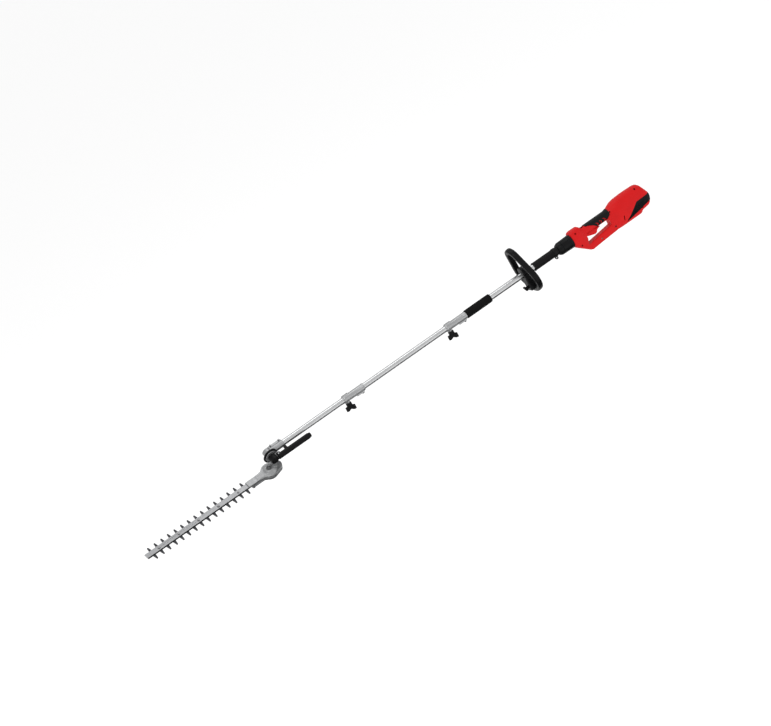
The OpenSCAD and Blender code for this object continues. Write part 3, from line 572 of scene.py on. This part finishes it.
SLOT_PLANES = [((x, 0, 0), (1, 0, 0)) for x in (trigger_lo, trigger_hi, lock_lo, lock_hi)]
SLOT_PLANES += [((0, y, 0), (0, 1, 0))
                for y in (-TRIGGER_SLOT_HALF, -LOCK_SLOT_HALF, LOCK_SLOT_HALF, TRIGGER_SLOT_HALF)]
SLIT_AT = [(x + X_BODY, z) for x, z in SIDE_SLIT]
screw_heads = loose_parts("housing_screws")
for side, node in ((-1, "housing_left"), (1, "housing_right")):
    half = taken(
        skin,
        lambda c, n: (c.y * side > SEAM and not inside(WEDGE_AT, c.x, c.z)
                      and not inside(SLIT_AT, c.x, c.z) and not in_slots(c)),
        outlines=[WEDGE_AT, SLIT_AT], planes=[((0, side * SEAM, 0), (0, 1, 0)), *SLOT_PLANES])
    if side < 0:
        for lo, hi in screw_heads:
            x, z = (lo.x + hi.x) / 2, (lo.z + hi.z) / 2 - AXIS_Z
            carved(half, rod((x, -SHELL_REACH, z), (x, lo.y, z), SCREW_WELL_R, count=32))
    piece(half, node + "_skin", POLE, "motor_unit", "red_shell", [node])

panels = taken(skin, lambda c, n: inside(WEDGE_AT, c.x, c.z) and c.x < X_CAP,
               outlines=[WEDGE_AT], planes=[((X_CAP, 0, 0), (1, 0, 0))], lift=0.5)
LOUVRES, LOUVRE_PITCH, LOUVRE_WIDTH, LOUVRE_SLANT = 5, 8.5, 3, 31
for k in range(LOUVRES):
    x = X_BODY + 87 + LOUVRE_PITCH * k
    slit = [(x, -42), (x + LOUVRE_WIDTH, -42),
            (x + LOUVRE_SLANT + LOUVRE_WIDTH, -19.5), (x + LOUVRE_SLANT, -19.5)]
    carved(panels, prism(slit, -SHELL_REACH, SHELL_REACH))
piece(panels, "vent_panels_skin", POLE, "motor_unit", "black_plastic", ["vent_panels"])
cap = taken(skin, lambda c, n: inside(WEDGE_AT, c.x, c.z) and c.x > X_CAP,
            outlines=[WEDGE_AT], planes=[((X_CAP, 0, 0), (1, 0, 0))], lift=0.3)
piece(cap, "rear_cap_skin", POLE, "motor_unit", "black_plastic", ["rear_cap"])


def chevron(x):
    """A V-shaped window of the soft grip, its point to the rear."""
    return [(x, 9), (x + 4.5, 9), (x + 13.5, 2), (x + 8.5, -5), (x + 4, -5), (x + 9, 2)]


CHEVRONS = [[(px + X_OPEN, pz) for px, pz in chevron(x)] for x in (62, 79, 96)]
grip = taken(
    skin,
    lambda c, n: inside(GRIP_AT, c.x, c.z) and not any(inside(v, c.x, c.z) for v in CHEVRONS),
    outlines=[GRIP_AT, *CHEVRONS], wall=1.5, lift=1.6)
piece(grip, "soft_grip_skin", POLE, "motor_unit", "soft_rubber", ["soft_grip"])
bpy.data.objects.remove(skin)

TRIGGER = [(10.5, -6, 1), (12.5, -19, 3), (27, -24, 6), (49, -30, 4), (57, -27, 3), (63, -19, 8),
           (76, -15.2, 3), (80, -14, 1), (30, -8, 2)]
trigger = bevelled(prism(rounded(shifted(TRIGGER, X_OPEN), 2), -TRIGGER_HALF, TRIGGER_HALF), 2.2, 4)
piece(trigger, "trigger_skin", POLE, "trigger", "red_shell", ["trigger"])

LOCK = [(-4, 15), (-4, 32.6, 2), (4, 31.5, 4), (17, 26, 5), (18, 15)]
lock = bevelled(prism(rounded(shifted(LOCK, X_OPEN), 1), -LOCK_HALF, LOCK_HALF), 1.8, 4)
lock = joined([lock, bevelled(brick((X_OPEN - 4, -10.5, 13.2), (X_OPEN + 18, 10.5, 16)), 0.5, 2)])
PRESS_ROOM, SPRING_ROOM = 3.2, 0.4
spring_at, spring_top = middle("lock_spring"), high("lock_spring").z - AXIS_Z + PRESS_ROOM
spring_r = (high("lock_spring").y - low("lock_spring").y) / 2 + SPRING_ROOM
carved(lock, rod((spring_at.x, spring_at.y, 0), (spring_at.x, spring_at.y, spring_top), spring_r, count=32))
piece(lock, "lock_button_skin", POLE, "lock_button", "black_plastic", ["lock_button"])

COLLAR = [(-66, 17.3), (-66, 20.2), (-65, 21.2), (-57.5, 25), (-55, 25.8), (-50, 26), (-49, 25),
          (-47, 25), (-46, 26.1, 0), (-43, 26.2, 1), (-17, 26.8, 1), (-14, 26.9, 0), (-13, 26),
          (-11, 26), (-10, 27), (-1, 27.2), (-0.2, 26.6), (-0.2, 17.3)]
collar = lathe([(p[0] + X_SHELL, *p[1:]) for p in COLLAR], 144, flutes=12, depth=0.9)
piece(collar, "collar_skin", POLE, "motor_unit", "black_plastic", ["collar"])

SLEEVE_BORE = 12.65
GRIP_LO, GRIP_HI = low("front_grip").x, high("front_grip").x
FRONT_GRIP = [(GRIP_LO, SLEEVE_BORE), (GRIP_LO, 16.6), (GRIP_LO + 1, 17.3), (GRIP_LO + 3.4, 17.3),
              (GRIP_LO + 4.2, 16.5), (GRIP_LO + 7, 16.5, 0), (GRIP_LO + 9, 16.5, 1),
              (-13, 16.5, 1), (-11, 16.5, 0), (11, 16.5, 0), (GRIP_HI, 16.5), (GRIP_HI, SLEEVE_BORE)]
piece(lathe(FRONT_GRIP, 192, flutes=24, depth=0.7), "front_grip_skin", POLE, "motor_unit",
      "black_plastic", ["front_grip"])

FOAM_LO, FOAM_HI = low("foam_grip").x, high("foam_grip").x
foam_side = [(FOAM_LO + 3 + t, 17) for t in range(0, int(FOAM_HI - FOAM_LO) - 5, 6)]
foam = lathe([(FOAM_LO, SLEEVE_BORE), (FOAM_LO, 15), (FOAM_LO + 0.8, 16.4), *foam_side,
              (FOAM_HI - 0.8, 16.4), (FOAM_HI, 15), (FOAM_HI, SLEEVE_BORE)], 72)
piece(foam, "foam_grip_skin", POLE, "motor_unit", "foam", ["foam_grip"])


# ---- Loop handle ----

LOOP_TOP, LOOP_LOW = (77, 32), (-11, 65)
LOOP_LEAN = math.radians(9.4)
LOOP_BORE = 12.55
CAP_SCREW_Y, CAP_SCREW_R = 15.6, 3.4


def pear_point(t):
    """The loop's centre line, t from 0 to 1 round from the top, as (height, side)."""
    (h0, r0), (h1, r1) = LOOP_TOP, LOOP_LOW
    a = math.asin((r1 - r0) / (h0 - h1))
    arc0, arc1 = r0 * (math.pi / 2 - a), r1 * (math.pi / 2 + a)
    line = (h0 - h1) * math.cos(a)
    side = 1 if t < 0.5 else -1
    run = 2 * (t if t < 0.5 else 1 - t) * (arc0 + line + arc1)
    if run < arc0:
        b = run / r0
        return h0 + r0 * math.cos(b), side * r0 * math.sin(b)
    if run < arc0 + line:
        s = (run - arc0) / line
        start = (h0 + r0 * math.sin(a), r0 * math.cos(a))
        end = (h1 + r1 * math.sin(a), r1 * math.cos(a))
        return start[0] + s * (end[0] - start[0]), side * (start[1] + s * (end[1] - start[1]))
    b = (math.pi / 2 - a) + (run - arc0 - line) / r1
    return h1 + r1 * math.cos(b), side * r1 * math.sin(b)


def loop_ring():
    up = Vector((-math.sin(LOOP_LEAN), 0, math.cos(LOOP_LEAN)))
    side = Vector((0, 1, 0))
    along = up.cross(side)
    count, rings = 120, []
    for k in range(count):
        h, s = pear_point(k / count)
        h1, s1 = pear_point((k + 0.5) / count % 1)
        h0, s0 = pear_point((k - 0.5) / count % 1)
        tangent = (up * (h1 - h0) + side * (s1 - s0)).normalized()
        outer = tangent.cross(along).normalized()
        centre = Vector((LOOP_X, 0, 0)) + up * h + side * s
        shape = [power_curve(2 * math.pi * j / 40, 3.2) for j in range(40)]
        rings.append([centre + outer * 10.2 * c + along * 12 * w for c, w in shape])
    return loft(rings, closed=True)


lower_block = bevelled(brick((LOOP_X - 18, -19, -69), (LOOP_X + 18, 19, -0.4)), 3, 3)
ribs = [bevelled(brick((LOOP_X - 19, y - 1.5, -62), (LOOP_X + 19, y + 1.5, -20)), 0.8, 2)
        for y in (-11, 11)]
loop = fused([loop_ring(), lower_block, *ribs], 1.4, 4)
carved(loop, rod((LOOP_X - 40, 0, 0), (LOOP_X + 40, 0, 0), LOOP_BORE, count=64))
piece(loop, "loop_handle_skin", POLE, "loop", "black_plastic", ["loop_handle"])
LOOP_CAP = [(-19, 0.4), (19, 0.4), (19, 15), (17, 24), (9, 30), (-9, 30), (-17, 24), (-19, 15)]
cap_ring = rounded(LOOP_CAP, 3)
loop_cap = loft([[(LOOP_X + x, y, z) for y, z in cap_ring] for x in (-18, 18)])
bevelled(loop_cap, 2.2, 3, 40)
carved(loop_cap, rod((LOOP_X - 40, 0, 0), (LOOP_X + 40, 0, 0), LOOP_BORE, count=64))
for y in (-CAP_SCREW_Y, CAP_SCREW_Y):
    carved(loop_cap, rod((LOOP_X, y, 18), (LOOP_X, y, 50), CAP_SCREW_R))
piece(loop_cap, "loop_cap_skin", POLE, "loop", "black_plastic", ["loop_cap"])
cast("loop_knob", POLE, 0.7, 3)


# ---- Couplers' knobs ----

HUB_R, FLUTE_R, HUB_FLUTES = 12, 1.4, 12
for node in ("rear_knob", "front_knob"):
    centre = middle(node).x
    flutes = [rod((centre + HUB_R * math.cos(a), HUB_R * math.sin(a), -34),
                  (centre + HUB_R * math.cos(a), HUB_R * math.sin(a), -20), FLUTE_R, count=16)
              for a in (2 * math.pi * k / HUB_FLUTES for k in range(HUB_FLUTES))]
    cast(node, POLE, 0.7, 4, cuts=[joined(flutes)])


# ---- Gear head ----

CRANK_X = middle("access_plug").x - X_PIVOT


def cone_z(x, y, z0, z1, r0, r1):
    return rod((x, y, z0), (x, y, z1), r0, r1, 64)


dome = cone_z(CRANK_X, -HEAD_S, -44, -32, 31, 17)
slope = loft([[(x, -HEAD_S + y * w, z) for y, z in ((-1, -46), (1, -46), (0.8, h), (-0.8, h))]
              for x, w, h in ((CRANK_X - 62, 14, -41.4), (CRANK_X - 30, 18, -39), (CRANK_X, 24, -34))])
web = brick((-6, -24, -46), (4, -17.4, -14))
web_rear = brick((-4, -33, -46), (12, -17.4, -20))
RIM_R, PLUG_WELL_R = 34.2, 9.5
rim = [(CRANK_X + RIM_R * math.cos(a), RIM_R * math.sin(a))
       for a in (math.pi * k / 24 for k in range(12, 37))]
band = loft([[(x, -HEAD_S + y, z) for x, y in rounded(rim, 3)] for z in (-52, -49)])
cast("gear_housing", PIVOT, 0.95, 4, extra=[dome, slope, web, web_rear, band],
     cuts=[cone_z(CRANK_X, -HEAD_S, -34.6, -20, PLUG_WELL_R, PLUG_WELL_R)])
cast("gear_cover", BLADE, 0.95, 3)
cast("hub_cap", PIVOT, 0.8, 4)
cast("pole_bracket", PIVOT, 0.8, 3)
cast("squeeze_lever", PIVOT, 0.95, 5)

EDGE_WIDTH = 0.5 * MM
for node in ("rear_coupler", "front_coupler", "strap_eye", "index_ring", "support_bar",
             "upper_blade", "lower_blade", "blade_bolts", "rear_detent", "front_detent",
             "pivot_bolt", "bracket_screws", "cover_screws", "access_plug", "housing_screws",
             "loop_screws", "cable_gland"):
    obj = NODES[node]
    weld = obj.modifiers.new("weld", "WELD")
    weld.merge_threshold = WELD_DISTANCE
    edge = obj.modifiers.new("edge", "BEVEL")
    edge.width = EDGE_WIDTH
    edge.segments = 2
    edge.limit_method = "ANGLE"
    edge.angle_limit = math.radians(32)
    edge.harden_normals = True

for name, obj in NODES.items():
    for holder in obj.material_slots:
        holder.link = "OBJECT"
        holder.material = MATERIALS[SLOT_OF[name]]


# ---- Stage, lights and camera ----

def flat(name, corners):
    """A flat four-cornered object of the stage, with a plain material, and that material's shader."""
    mesh = bpy.data.meshes.new(name)
    mesh.from_pydata(corners, [], [(0, 1, 2, 3)])
    made = bpy.data.objects.new(name, mesh)
    bpy.context.scene.collection.objects.link(made)
    look, _, shader = node_tree(name, name)
    mesh.materials.append(look)
    return made, shader


FLOOR_DROP, FLOOR_REACH = 0.6, 60
floor_z = cad_box[0][2] - FLOOR_DROP
floor, floor_shader = flat("floor", [(x * FLOOR_REACH, y * FLOOR_REACH, floor_z)
                                     for x, y in ((-1, -1), (1, -1), (1, 1), (-1, 1))])
floor_shader.inputs["Base Color"].default_value = (0.9, 0.9, 0.9, 1)
floor_shader.inputs["Roughness"].default_value = 0.9
floor_shader.inputs["Specular IOR Level"].default_value = 0.1
floor_shader.inputs["Emission Color"].default_value = (1, 1, 1, 1)
floor_shader.inputs["Emission Strength"].default_value = 0.3

world = bpy.data.worlds.new("studio")
bpy.context.scene.world = world
world.use_nodes = True
sky = world.node_tree.nodes["Background"]
sky.inputs["Color"].default_value = (1, 1, 1, 1)
sky.inputs["Strength"].default_value = 0.72

CENTRE = Vector(((cad_box[0][0] + cad_box[1][0]) / 2, 0, AXIS_Z * MM))


def softbox(name, away, size, power):
    """A large area light, aimed at the middle of the object."""
    data = bpy.data.lights.new(name, "AREA")
    data.shape = "RECTANGLE"
    data.size, data.size_y = size
    data.energy = power
    lamp = bpy.data.objects.new(name, data)
    bpy.context.scene.collection.objects.link(lamp)
    lamp.location = CENTRE + Vector(away)
    lamp.rotation_euler = (-Vector(away)).to_track_quat("-Z", "Y").to_euler()


softbox("key", (-1.2, -3.2, 3.4), (3.5, 1.4), 46)
softbox("top", (0.3, 0.6, 3.6), (4.0, 1.0), 34)
softbox("fill", (2.6, -2.6, 0.8), (2.0, 2.0), 5)

# A dark card below and in front, seen only by gloss, draws the dark lower edge of the tubes
CARD_PAST_ENDS = 0.5
CARD_NEAR, CARD_FAR = (-1.1, -0.75), (0.15, -0.5)
card_x0, card_x1 = cad_box[0][0] - CARD_PAST_ENDS, cad_box[1][0] + CARD_PAST_ENDS
card, card_shader = flat("dark_card", [(card_x0, *CARD_NEAR), (card_x1, *CARD_NEAR),
                                       (card_x1, *CARD_FAR), (card_x0, *CARD_FAR)])
card_shader.inputs["Base Color"].default_value = (0.01, 0.01, 0.01, 1)
card_shader.inputs["Roughness"].default_value = 1.0
card.visible_camera = False
card.visible_diffuse = False
card.visible_shadow = False

# The camera stands far off, turned towards the blade's end and rolled so that the pole climbs
YAW, RISE, LEAN = math.radians(20), math.radians(18), math.radians(28.6)
IMAGE_WIDTH, MM_PER_PIXEL = 771, 3.78
FRAME_WIDTH = IMAGE_WIDTH * MM_PER_PIXEL * MM
DISTANCE = 40.0
SENSOR = 36
TARGET_ACROSS, TARGET_DOWN = 0.759, 0.0607
across = Vector((math.cos(YAW), -math.sin(YAW), 0))
upward = Vector((math.sin(YAW) * math.sin(RISE), math.cos(YAW) * math.sin(RISE), math.cos(RISE)))
backward = across.cross(upward)
target = Vector((0, 0, AXIS_Z * MM)) - across * TARGET_ACROSS - upward * TARGET_DOWN
camera_data = bpy.data.cameras.new("camera")
camera_data.sensor_width = SENSOR
camera_data.lens = SENSOR * DISTANCE / FRAME_WIDTH
camera_data.clip_end = 200
camera = bpy.data.objects.new("camera", camera_data)
bpy.context.scene.collection.objects.link(camera)
right = across * math.cos(LEAN) - upward * math.sin(LEAN)
up = across * math.sin(LEAN) + upward * math.cos(LEAN)
turn = Matrix((right, up, backward)).transposed().to_4x4()
camera.matrix_world = Matrix.Translation(target + backward * DISTANCE) @ turn
bpy.context.scene.camera = camera
bpy.context.scene.view_settings.view_transform = "Standard"
